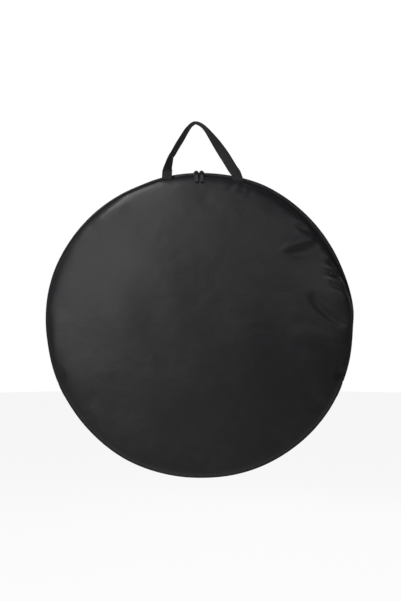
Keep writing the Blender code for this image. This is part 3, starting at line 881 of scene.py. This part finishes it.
def rim_strip(name, profile, start, end, step=1.0, width=None):
    """Carries a closed profile round the rim.

    The profile is a function of the clock angle that gives radii and places along Y, each as a
    (rows, points) array. The cut runs in metres along the rim, and across the profile from its
    first point, the same on both sides; a given width is what every row then measures across.
    """
    angle = np.linspace(start, end, int(round((end - start) / step)) + 1)[:, None]
    radius, y = profile(angle)
    points = clock_point(angle, radius, y)
    points = np.concatenate([points, points[:, :1]], axis=1)
    along = np.radians(angle) * BAG_RADIUS * np.ones(points.shape[:2])
    steps = np.linalg.norm(np.diff(points, axis=1), axis=-1)
    across = np.concatenate([np.zeros((len(angle), 1)), np.cumsum(steps, axis=1)], axis=1)
    across = np.minimum(across, across[:, -1:] - across)
    if width is not None:
        across *= width / across.max(axis=1, keepdims=True)
    return make_solid_strip(name, points, np.stack([along, across], -1), 50.0)


def thick_line(radius, y, thickness):
    """A closed profile round an open line: out along one side and back along the other."""
    run_r = np.gradient(radius, axis=1)
    run_y = np.gradient(y, axis=1)
    size = np.hypot(run_r, run_y)

    def there_and_back(line, side):
        reach = side / size * (thickness / 2)
        return np.concatenate([line + reach, (line - reach)[:, ::-1]], axis=1)

    return there_and_back(radius, -run_y), there_and_back(y, run_r)


def zip_tape_profile(side):
    """The tape from under the panel's edge, over a soft bend, to the foot of its coil.

    Its radius rises as a sine to the power 0.8, its depth falls as the way along it to the
    power 1.25, and a low sine of 46 waves a turn puffs it.
    """
    def profile(angle):
        rim = rim_radius(angle)
        edge = edge_radius(side, angle)
        share = np.linspace(0, 1, 11)[None, :]
        top = rim - COIL_DROP - 0.0007
        start = np.minimum(edge - 0.0014, top - 0.0010)
        radius = start + (top - start) * np.sin(share * pi / 2) ** 0.8
        seam = seam_depth(side, angle)
        depth = seam - 0.0022 - (seam - 0.0036) * share**1.25
        puff = 0.0007 * np.sin(np.radians(angle) * 46) * np.sin(share * pi)
        return thick_line(radius, side * (depth + puff), TAPE_CLOTH)
    return profile


def folded_binding_profile(width, half_depth, lift):
    """A tape folded round the lower rim: front leg, half circle and back leg, ending in a wave."""
    turn = np.linspace(-pi / 2, pi / 2, 9)

    def profile(angle):
        rim = rim_radius(angle) + lift
        round_r = rim - half_depth + half_depth * np.cos(turn)[None, :]
        round_y = half_depth * np.sin(turn)[None, :] * np.ones_like(rim)
        wave = 0.00018 * np.sin(np.radians(angle) * 64)
        inner = rim - width + wave
        legs_r = np.concatenate([inner, round_r, inner], axis=1)
        legs_y = np.concatenate([-half_depth + 0 * rim, round_y, half_depth + 0 * rim], axis=1)
        return thick_line(legs_r, legs_y, BINDING_CLOTH)
    return profile


def seam_binding_profile(side):
    """The binding over the raw seam inside the bag: a flat tape that leans into the wall."""
    def profile(angle):
        share = np.linspace(0, 1, 5)[None, :]
        radius = edge_radius(side, angle) - 0.0010 - 0.0080 * share
        depth = seam_depth(side, angle) - 0.0016 + 0.0058 * share
        return thick_line(radius, side * depth + 0 * radius, BINDING_CLOTH)
    return profile


def make_coil_loops(name, side):
    """One coil of the zip: a wire wound along the rim, four-sided, eight points a loop.

    The winding is an ellipse across the chain. It advances by the pitch in each turn, and the
    back coil lags half a turn, so that the loops of the two coils mesh.
    """
    count = int(radians(2 * ZIP_END) * BAG_RADIUS / LOOP_PITCH)
    turns = np.linspace(0, count, count * 8 + 1)
    angle = -ZIP_END + 2 * ZIP_END * turns / count
    swing = turns * tau + (pi if side == BACK else 0)
    radius = rim_radius(angle) - COIL_DROP + LOOP_RISE * np.sin(swing)
    y = side * (LOOP_REACH + COIL_GAP) - side * LOOP_REACH * np.cos(swing)
    path = clock_point(angle, radius, y)
    tangent = unit(np.gradient(path, axis=0))
    middle = clock_point(angle, rim_radius(angle) - COIL_DROP, side * LOOP_REACH)
    out = squared(path - middle, tangent)
    beside = np.cross(tangent, out)
    corner = np.arange(5) * tau / 4
    spin = corner[None, :, None]
    ring = out[:, None] * np.cos(spin) + beside[:, None] * np.sin(spin)
    points = path[:, None] + ring * LOOP_WIRE
    along = turns[:, None] * LOOP_PITCH * np.ones((1, 5))
    uv = np.stack([along, np.ones_like(along) * corner * LOOP_WIRE], -1)
    return make_solid_strip(name, points, uv, 180.0)


def coil_core_profile(side):
    """The cord inside a coil: six-sided, and a little flattened."""
    turn = np.arange(6) * tau / 6

    def profile(angle):
        radius = rim_radius(angle) - COIL_DROP + CORE_RISE * np.cos(turn)[None, :]
        y = side * (LOOP_REACH - 0.0001) + CORE_REACH * np.sin(turn)[None, :]
        return radius, y + 0 * radius
    return profile


# Stitches

def make_stitches(name, centres, tangents, normals, length, width):
    """A row of stitches as one mesh.

    Each is a short thread of five rings of six points, which dives into the cloth at both ends.
    """
    tangents = unit(tangents)
    normals = squared(normals, tangents)
    sideways = np.cross(tangents, normals)
    along = np.array([-0.5, -0.36, 0.0, 0.36, 0.5])
    height = np.array([-0.9, 0.1, 0.55, 0.1, -0.9]) * width / 2
    girth = np.array([0.35, 0.9, 1.0, 0.9, 0.35]) * width / 2
    turn = np.arange(6) * tau / 6
    template = np.stack([
        np.repeat(along * length, 6),
        np.repeat(girth, 6) * np.tile(np.cos(turn), 5),
        np.repeat(height, 6) + np.repeat(girth, 6) * np.tile(np.sin(turn), 5) * 0.7,
    ], -1)
    ring, step = np.meshgrid(np.arange(4) * 6, np.arange(6), indexing="ij")
    here, after = ring + step, ring + (step + 1) % 6
    quads = np.stack([here, after, after + 6, here + 6], -1).reshape(-1, 4)
    points = centres[:, None] + np.einsum(
        "vk,nkc->nvc", template, np.stack([tangents, sideways, normals], 1)
    )
    count = len(centres)
    base = np.arange(count)[:, None, None] * 30
    caps = np.array([[5, 4, 3, 2, 1, 0], [24, 25, 26, 27, 28, 29]])
    sides, ends = (quads[None] + base).reshape(-1, 4), (caps[None] + base).reshape(-1, 6)
    uv = np.tile(template[:, :2], (count, 1))
    return make_mesh(name, points, sides.tolist() + ends.tolist(), uv)


def stitch_angles(start, end):
    """Clock angles that share out a stretch of the rim evenly among stitches."""
    count = int(radians(end - start) * BAG_RADIUS / STITCH_PITCH)
    return start + (end - start) * (np.arange(count) + 0.5) / count


def seam_stitches(name, side):
    """The topstitch beside a wall's zip seam, which lies a fixed distance inside its edge.

    Small steps along and away from the rim give each stitch its direction and its normal.
    """
    angle = stitch_angles(-ZIP_END, ZIP_END)
    share = 1 - SEAM_ROW / BAG_RADIUS + 0 * angle
    points = wall_points(side, angle, share)
    along = wall_points(side, angle + 0.05, share) - wall_points(side, angle - 0.05, share)
    outward = wall_points(side, angle, share + 0.002) - wall_points(side, angle, share - 0.002)
    normals = np.cross(outward, along)
    normals *= np.sign(normals[:, 1:2]) * side
    centres = points + unit(normals) * 0.0001
    return make_stitches(name, centres, along, normals, STITCH_PITCH * 0.80, STITCH_WIDTH)


def hem_stitches(name, side):
    """The stitches that hold the folded binding round the lower rim, seen on one of its sides."""
    angle = stitch_angles(ZIP_END + 7.0, 353.0 - ZIP_END)
    radius = rim_radius(angle) - HEM_ROW
    centres = clock_point(angle, radius, side * 0.0027)
    tangents = clock_point(angle + 0.1, radius, 0) - clock_point(angle - 0.1, radius, 0)
    normals = np.tile([0.0, float(side), 0.0], (len(angle), 1))
    return make_stitches(name, centres, tangents, normals, STITCH_PITCH * 0.80, STITCH_WIDTH)


# Handle

def leg_stations(shares, leg):
    """A leg's places, from shares of the way from its foot to the handle's top."""
    rise = HANDLE_TOP[1] - LOOP_BOTTOM
    return [
        (leg + (HANDLE_TOP[0] - leg) * across, -LEG_DEPTH * (1 - up), LOOP_BOTTOM + rise * up, turn)
        for across, up, turn in shares
    ]


def smooth_route(stations, count):
    """Evenly spaced points on a smooth curve that passes through every station."""
    knots = np.array(stations, dtype=float)
    padded = np.vstack([2 * knots[0] - knots[1], knots, 2 * knots[-1] - knots[-2]])
    t = np.linspace(0, 1, 40, endpoint=False)[None, :, None]
    before, here, after, beyond = (padded[k : k + len(knots) - 1, None] for k in range(4))
    bend = 2 * before - 5 * here + 4 * after - beyond
    swing = 3 * here - before - 3 * after + beyond
    fine = here + ((after - before) * t + bend * t**2 + swing * t**3) / 2
    fine = np.vstack([fine.reshape(-1, 4), knots[-1]])
    lengths = np.linalg.norm(np.diff(fine[:, :3], axis=0), axis=1)
    along = np.concatenate([[0], np.cumsum(lengths)])
    wanted = np.linspace(0, along[-1], count + 1)
    route = np.column_stack([np.interp(wanted, along, fine[:, k]) for k in range(4)])
    return route, wanted


def strap_profile():
    """The webbing's section: two flats joined by half circles, closed. (across, out) in metres."""
    half = STRAP_WIDTH / 2
    round_edge = STRAP_THICKNESS / 2
    turn = np.linspace(-pi / 2, pi / 2, 6)
    across = np.concatenate([
        np.linspace(-half + round_edge, half - round_edge, 9)[:-1],
        half - round_edge + round_edge * np.cos(turn),
        np.linspace(half - round_edge, -half + round_edge, 9)[1:-1],
        -half + round_edge - round_edge * np.cos(turn),
    ])
    out = np.concatenate([
        np.full(8, -round_edge),
        round_edge * np.sin(turn),
        np.full(7, round_edge),
        -round_edge * np.sin(turn),
    ])
    return np.append(across, across[0]), np.append(out, out[0])


def handle_route():
    """The strap from its left foot over the top to its right foot."""
    left = leg_stations(LEFT_LEG_SHARES, LEFT_LEG)
    right = leg_stations(RIGHT_LEG_SHARES, RIGHT_LEG)
    stations = [*LEFT_FOOT_PLACES, *left, *right[-2::-1], *RIGHT_FOOT_PLACES]
    return smooth_route(stations, STRAP_STEPS)


def strap_frames(route):
    """The strap's middle line, its width's direction and its face's direction at each step."""
    tangents = np.gradient(route[:, :3], axis=0)
    outward = np.column_stack([-tangents[:, 2], 0 * tangents[:, 0], tangents[:, 0]])
    turn = np.radians(np.clip(route[:, 3], 0, 90))[:, None]
    across = unit(outward) * np.cos(turn) + np.array([[0, -1, 0]]) * np.sin(turn)
    tangents = unit(tangents)
    across = squared(across, tangents)
    return route[:, :3] + CENTRE, across, np.cross(tangents, across)


def make_handle():
    """The webbing: its section carried along its route, turned as it twists."""
    route, along = handle_route()
    centre, across, face = strap_frames(route)
    wide, out = strap_profile()
    points = centre[:, None] + across[:, None] * wide[:, None] + face[:, None] * out[:, None]
    run, wide = np.broadcast_arrays(along[:, None], wide[None, :])
    return make_solid_strip("handle_webbing", points, np.stack([run, wide], -1), 70.0)


def make_bartack(name, foot, seam):
    """Close zigzag stitches across a foot of the handle, just above the seam."""
    step = np.arange(BARTACK_COUNT)
    share = (step + 0.5) / BARTACK_COUNT
    x = CENTRE[0] + foot + (share - 0.5) * STRAP_WIDTH * 0.86
    z = CENTRE[2] + seam + BARTACK_RISE + 0 * x
    y = -LEG_DEPTH - STRAP_THICKNESS / 2 - 0.0003 + 0 * x
    centres = np.column_stack([x, y, z])
    lean = np.where(step % 2 == 0, 0.30, -0.30)
    tangents = np.column_stack([lean, 0 * x, 1 + 0 * x])
    normals = np.tile([0.0, -1.0, 0.0], (BARTACK_COUNT, 1))
    return make_stitches(name, centres, tangents, normals, BARTACK_LENGTH, STITCH_WIDTH)


# Hub patches

def make_hub_patch(name, side):
    """A round patch inside the wall's middle: a thin disc, swollen a little, with a rolled edge."""
    share = np.array([0, 0.3, 0.6, 0.8, 0.9, 0.955, 0.985, 1.0])
    height = np.array([0, 0, 0, 0.0001, 0.0002, 0.00025, -0.0001, -0.0010])
    angle = np.linspace(-180, 180, 73)
    radius = PATCH_RADIUS * np.concatenate([share, share[::-1]])
    place = np.concatenate([PATCH_DEPTH - PATCH_CLOTH - height, PATCH_DEPTH + AIR + 0 * height])
    points = clock_point(angle[None, :], radius[:, None], side * place[:, None])
    return make_surface(name, points, points[..., (0, 2)])


def ring_stitches(name, side):
    """The ring of stitches that holds a hub patch."""
    count = int(tau * RING_ROW / RING_PITCH)
    angle = 360 * np.arange(count) / count
    centres = clock_point(angle, RING_ROW, side * (PATCH_DEPTH - PATCH_CLOTH))
    tangents = clock_point(angle + 1, RING_ROW, 0) - clock_point(angle - 1, RING_ROW, 0)
    normals = np.tile([0.0, -side, 0.0], (count, 1))
    return make_stitches(name, centres, tangents, normals, RING_PITCH * 0.78, 0.0008)


# The whole bag

def make_bag():
    """Makes every piece, gives it its body and finish, and names the nodes that it stands for."""
    for side in (FRONT, BACK):
        settled_walls[side] = settle_cloth(side)
    nylon = make_coated_nylon()
    lining = make_lining()
    patch = make_patch_cloth()
    webbing = make_webbing()
    tape = make_zip_tape()
    binding = make_binding_tape()
    coil = make_coil_plastic()
    thread = make_thread()

    over_fold = ("bag_body", "front_flap", (0, 0, FOLD_BLEND[0]), (0, 0, FOLD_BLEND[1]))
    cloth = make_cloth_wall("front_cloth", FRONT)
    finish_piece(cloth, nylon, "coated_nylon", over_fold, "upper_front_panel", "lower_front_panel")
    cloth = make_cloth_wall("back_cloth", BACK)
    finish_piece(cloth, nylon, "coated_nylon", "bag_body", "back_panel")
    front_names = (
        "upper_front_padding", "lower_front_padding", "upper_front_lining", "lower_front_lining",
    )
    back_names = ["back_padding", "back_lining"]
    pads = ((FRONT, "front", over_fold, front_names), (BACK, "back", "bag_body", back_names))
    for side, word, body, names in pads:
        pad = make_pad_wall(word + "_lined_pad", side)
        finish_piece(pad, lining, "lining_cloth", body, *names)

    for side, body, word in ((FRONT, "front_flap", "front"), (BACK, "bag_body", "back")):
        reach = ZIP_END if side == FRONT else ZIP_END + 1.2
        profile = zip_tape_profile(side)
        strip = rim_strip(word + "_tape_cloth", profile, -reach, reach, width=TAPE_CUT)
        finish_piece(strip, tape, "zip_tape", body, word + "_zip_tape")
        loops = make_coil_loops(word + "_coil_loops", side)
        finish_piece(loops, coil, "zip_coil", body, word + "_zip_coil")
        core = rim_strip(word + "_coil_core", coil_core_profile(side), -ZIP_END, ZIP_END)
        # The core takes the tape's finish. Its cut is narrower than the painted groove shade, so it
        # is painted matt dark all over.
        finish_piece(core, tape, "zip_coil", body)
        cover = rim_strip(word + "_seam_cover", seam_binding_profile(side), -ZIP_END, ZIP_END)
        finish_piece(cover, binding, "binding_tape", body, word + "_seam_binding")
        disc = make_hub_patch(word + "_hub_disc", side)
        finish_piece(disc, patch, "hub_patch_cloth", body, word + "_hub_patch")
        finish_piece(ring_stitches(word + "_hub_stitches", side), thread, "binding_tape", body)
        finish_piece(seam_stitches(word + "_seam_stitches", side), thread, "binding_tape", body)

    profile = folded_binding_profile(width=0.0052, half_depth=0.0022, lift=-0.0004)
    hem = rim_strip("hem_binding", profile, ZIP_END + 0.9, 359.1 - ZIP_END)
    finish_piece(hem, binding, "binding_tape", "bag_body", "lower_rim_binding")
    for side, word in ((FRONT, "front"), (BACK, "back")):
        row = hem_stitches("hem_stitches_" + word, side)
        finish_piece(row, thread, "binding_tape", "bag_body")
    profile = folded_binding_profile(width=0.0066, half_depth=0.0028, lift=0.0)
    for sign, word in ((-1, "left"), (1, "right")):
        low, high = sorted((sign * (ZIP_END + 2.2), sign * (ZIP_END + 6.2)))
        tab = rim_strip("end_tab_cloth_" + word, profile, low, high, 0.25)
        finish_piece(tab, nylon, "binding_tape", "bag_body", "zip_end_tab_" + word)

    pivot = CENTRE[2] + LOOP_BOTTOM
    low, high = ((0, 0, pivot + reach) for reach in LOOP_BLEND)
    handle_names = ("handle_strap", "handle_foot_left", "handle_foot_right")
    over_feet = ("front_flap", "handle", low, high)
    finish_piece(make_handle(), webbing, "webbing", over_feet, *handle_names)
    for word, foot, seam in BARTACK_SEAMS:
        tack = make_bartack("foot_stitches_" + word, foot, seam)
        finish_piece(tack, thread, "webbing", "front_flap")

    slider_metal = make_slider_metal()
    pull_metal = make_pull_metal()
    metals = (("slider", slider_metal), ("stop", slider_metal), ("pull", pull_metal))
    for word in ("left", "right"):
        for part, finish in metals:
            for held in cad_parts["zip_" + part + "_" + word].material_slots:
                held.material = finish.material


# Floor, light and camera

def make_floor():
    """A pale floor that looks white to the camera except where the bag shades it."""
    mesh = bpy.data.meshes.new("floor")
    turn = np.arange(FLOOR_SIDES) * tau / FLOOR_SIDES
    flat = FLOOR_RADIUS * np.cos(turn), FLOOR_RADIUS * np.sin(turn)
    rim = np.column_stack([*flat, np.full(FLOOR_SIDES, FLOOR_Z)])
    mesh.from_pydata(rim, [], [list(range(FLOOR_SIDES))])
    floor = add_object("floor", mesh)
    material = bpy.data.materials.new("pale_floor")
    graph = Graph(material)
    share = graph.seen() * FLOOR_SHARE
    matt = graph.node("ShaderNodeBsdfDiffuse", {}, {"Color": (0.60, 0.60, 0.60, 1)})
    glow = graph.node("ShaderNodeEmission", {}, {"Color": (1, 1, 1, 1), "Strength": 1.06})
    both = graph.node("ShaderNodeMixShader", {}, {0: share, 1: matt, 2: glow})
    graph.node("ShaderNodeOutputMaterial", {}, {"Surface": both}, None)
    mesh.materials.append(material)


def make_world(left, right, behind):
    """Light from all round, stronger from the left and from behind, with a white backdrop.

    The camera sees white everywhere, and reflections see the dimmer studio.
    """
    world = bpy.data.worlds.new("studio")
    bpy.context.scene.world = world
    graph = Graph(world)
    share = graph.seen()
    direction = graph.node("ShaderNodeTexCoord", output="Generated")
    across, depth = (graph.node("ShaderNodeSeparateXYZ", {}, {0: direction}, k) for k in (0, 1))
    level = across.step(-0.9, 0.7) * (right - left) + left + depth.step(0.1, 0.9) * behind
    lit = graph.node("ShaderNodeBackground", {}, {"Color": (1, 1, 1, 1), "Strength": level})
    white = graph.node("ShaderNodeBackground", {}, {"Color": (1, 1, 1, 1), "Strength": 1.0})
    both = graph.node("ShaderNodeMixShader", {}, {0: share, 1: lit, 2: white})
    graph.node("ShaderNodeOutputWorld", {}, {"Surface": both}, None)


def make_lamp(name, place, power, size):
    """A square soft lamp that faces the bag's centre."""
    lamp = bpy.data.lights.new(name, "AREA")
    lamp.energy = power
    lamp.size = size
    holder = add_object(name, lamp)
    holder.location = place
    holder.rotation_mode = "QUATERNION"
    aim = Vector(tuple(CENTRE)) - Vector(place)
    holder.rotation_quaternion = aim.to_track_quat("-Z", "Y")
    holder.visible_camera = False


def make_camera():
    """A camera square in front of the bag, at the photograph's height and distance."""
    camera = bpy.data.cameras.new("camera")
    camera.lens = 59.8
    camera.sensor_width = 36.0
    holder = add_object("camera", camera)
    holder.location = (CENTRE[0] + 0.0007, -2.40, CENTRE[2] + 0.061)
    holder.rotation_euler = (radians(90), 0, 0)
    bpy.context.scene.camera = holder


def main():
    bpy.context.scene.view_settings.view_transform = "Standard"
    make_camera()
    make_world(left=0.31, right=0.10, behind=0.40)
    make_floor()
    for lamp in LAMPS:
        make_lamp(*lamp)
    make_bag()


main()
